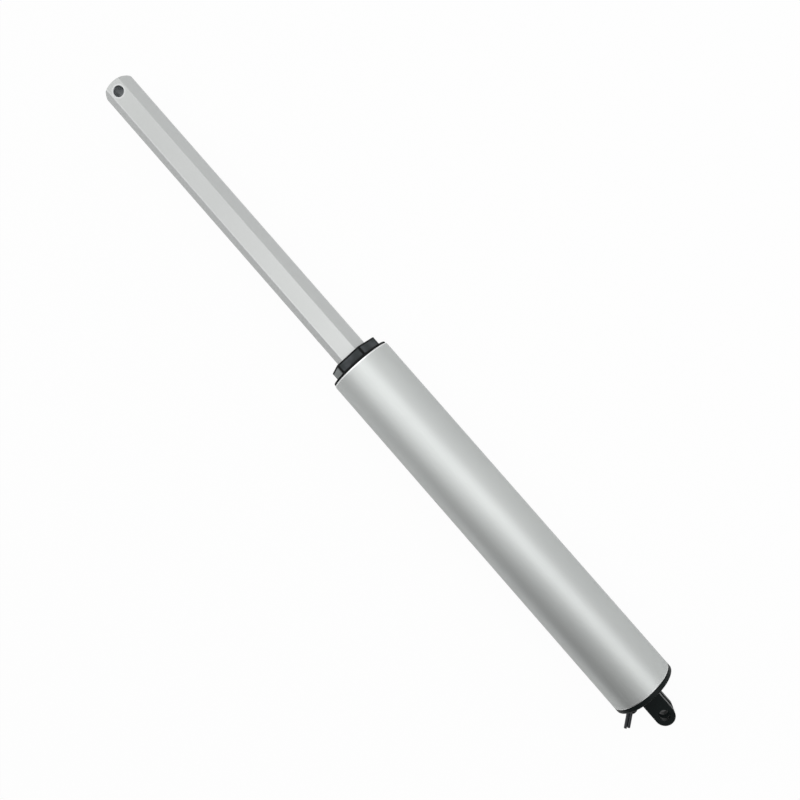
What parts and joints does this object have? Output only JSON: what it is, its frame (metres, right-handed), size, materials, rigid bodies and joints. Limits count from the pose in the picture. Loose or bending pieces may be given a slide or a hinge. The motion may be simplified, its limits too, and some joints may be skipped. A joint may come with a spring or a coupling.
{
  "type": "linear actuator",
  "caption": "slim in-line electric linear actuator: round tube, hexagonal push rod with a cross-drilled eye, hexagonal gland and a clevis cap with two short leads",
  "frame": {"origin": "on the axis of the rear clevis pin, midway between the two ears", "axes": "+X along the push rod as it extends, +Z along the clevis pin and the rod's eye"},
  "size_m": [0.6198, 0.0549, 0.05],
  "materials": {
    "tube_finish": "satin anodised",
    "rod_finish": "drawn and satin anodised",
    "black_cap": "black powder coat on cast metal",
    "black_gland": "black moulded plastic",
    "black_insulation": "black flexible insulation",
    "seal_rubber": "black rubber",
    "copper": "bare copper",
    "screw_steel": "zinc plated",
    "black_steel": "blackened steel",
    "motor_steel": "plated steel",
    "magnet_black": "ferrite",
    "motor_plastic": "moulded",
    "bronze": "sintered bronze",
    "brass_strip": "stamped brass",
    "carbon": "carbon",
    "gear_steel": "sintered steel",
    "cast_metal": "sintered iron",
    "block_metal": "turned aluminium",
    "bearing_steel": "ground steel",
    "screw_thread_steel": "rolled thread",
    "bush_plastic": "natural acetal",
    "nut_plastic": "natural acetal",
    "strip_green": "circuit board",
    "switch_black": "moulded",
    "button_red": "moulded",
    "wire_red": "flexible insulation"
  },
  "bodies": {
    "housing": {"outer_tube": "tube_finish", "rear_cap": "black_cap", "front_gland": "black_gland", "lead_wire_upper": "black_insulation", "lead_wire_lower": "black_insulation", "lead_grommet": "black_insulation", "rear_cap_seal": "seal_rubber", "gland_seal": "seal_rubber", "wiper_seal": "seal_rubber", "lead_conductors": "copper", "cap_screws": "screw_steel", "block_screws": "screw_steel", "motor_screws": "screw_steel", "lead_clamp_screw": "black_steel", "motor_can": "motor_steel", "motor_magnets": "magnet_black", "motor_end_bell": "motor_plastic", "motor_bushes": "bronze", "motor_terminals": "brass_strip", "motor_brushes": "carbon", "ring_gear": "cast_metal", "gearbox_plate": "block_metal", "bearing_block": "block_metal", "bearing_outer_race": "bearing_steel", "bearing_circlip": "bearing_steel", "guide_bush": "bush_plastic", "switch_rail": "strip_green", "limit_switch_rear": "switch_black", "limit_switch_front": "switch_black", "switch_wires": "wire_red"},
    "rotor": {"armature_core": "motor_steel", "armature_windings": "copper", "commutator": "copper", "motor_shaft": "motor_steel", "sun_gear": "gear_steel"},
    "screw": {"planet_carrier": "gear_steel", "planet_pins": "gear_steel", "coupling_pin": "screw_steel", "lead_screw": "screw_thread_steel", "bearing_inner_race": "bearing_steel", "screw_tip_guide": "bush_plastic", "screw_tip_clip": "bearing_steel"},
    "planet_1": {"planet_gear_1": "gear_steel"},
    "planet_2": {"planet_gear_2": "gear_steel"},
    "planet_3": {"planet_gear_3": "gear_steel"},
    "ball_set": {"bearing_cage": "bearing_steel", "bearing_balls": "bearing_steel"},
    "rod": {"push_rod": "rod_finish", "rod_end_plug": "rod_finish", "drive_nut": "nut_plastic", "nut_screws": "screw_steel", "guide_ring": "bush_plastic"},
    "button_rear": {"switch_plunger_rear": "button_red"},
    "button_front": {"switch_plunger_front": "button_red"}
  },
  "joints": [
    {"name": "rod_slide", "type": "slide", "parent": "housing", "child": "rod", "axis": [1, 0, 0], "range_m": [-0.2, 0]},
    {"name": "motor_spin", "type": "hinge", "parent": "housing", "child": "rotor", "pos_m": [0.05, 0, 0], "axis": [1, 0, 0], "range_deg": [0, 180001.8]},
    {"name": "screw_spin", "type": "hinge", "parent": "housing", "child": "screw", "pos_m": [0.086, 0, 0], "axis": [1, 0, 0], "range_deg": [0, 36000.36]},
    {"name": "cage_spin", "type": "hinge", "parent": "housing", "child": "ball_set", "pos_m": [0.086, 0, 0], "axis": [1, 0, 0], "range_deg": [0, 13236.13]},
    {"name": "planet_1_spin", "type": "hinge", "parent": "screw", "child": "planet_1", "pos_m": [0.0733, 0, 0.012], "axis": [1, 0, 0], "range_deg": [-96000.96, 0]},
    {"name": "planet_2_spin", "type": "hinge", "parent": "screw", "child": "planet_2", "pos_m": [0.0733, -0.01039, -0.006], "axis": [1, 0, 0], "range_deg": [-96000.96, 0]},
    {"name": "planet_3_spin", "type": "hinge", "parent": "screw", "child": "planet_3", "pos_m": [0.0733, 0.01039, -0.006], "axis": [1, 0, 0], "range_deg": [-96000.96, 0]},
    {"name": "button_rear_press", "type": "slide", "parent": "housing", "child": "button_rear", "axis": [0, 0, 1], "range_m": [-0.0006, 0], "stiffness_N_per_m": 400},
    {"name": "button_front_press", "type": "slide", "parent": "housing", "child": "button_front", "axis": [0, 0, 1], "range_m": [-0.0006, 0], "stiffness_N_per_m": 400}
  ],
  "couplings": [
    {"joint": "motor_spin", "follows": "rod_slide", "rad_per_m": -15708},
    {"joint": "screw_spin", "follows": "rod_slide", "rad_per_m": -3141.6},
    {"joint": "cage_spin", "follows": "rod_slide", "rad_per_m": -1155.1},
    {"joint": "planet_1_spin", "follows": "rod_slide", "rad_per_m": 8377.6},
    {"joint": "planet_2_spin", "follows": "rod_slide", "rad_per_m": 8377.6},
    {"joint": "planet_3_spin", "follows": "rod_slide", "rad_per_m": 8377.6}
  ]
}
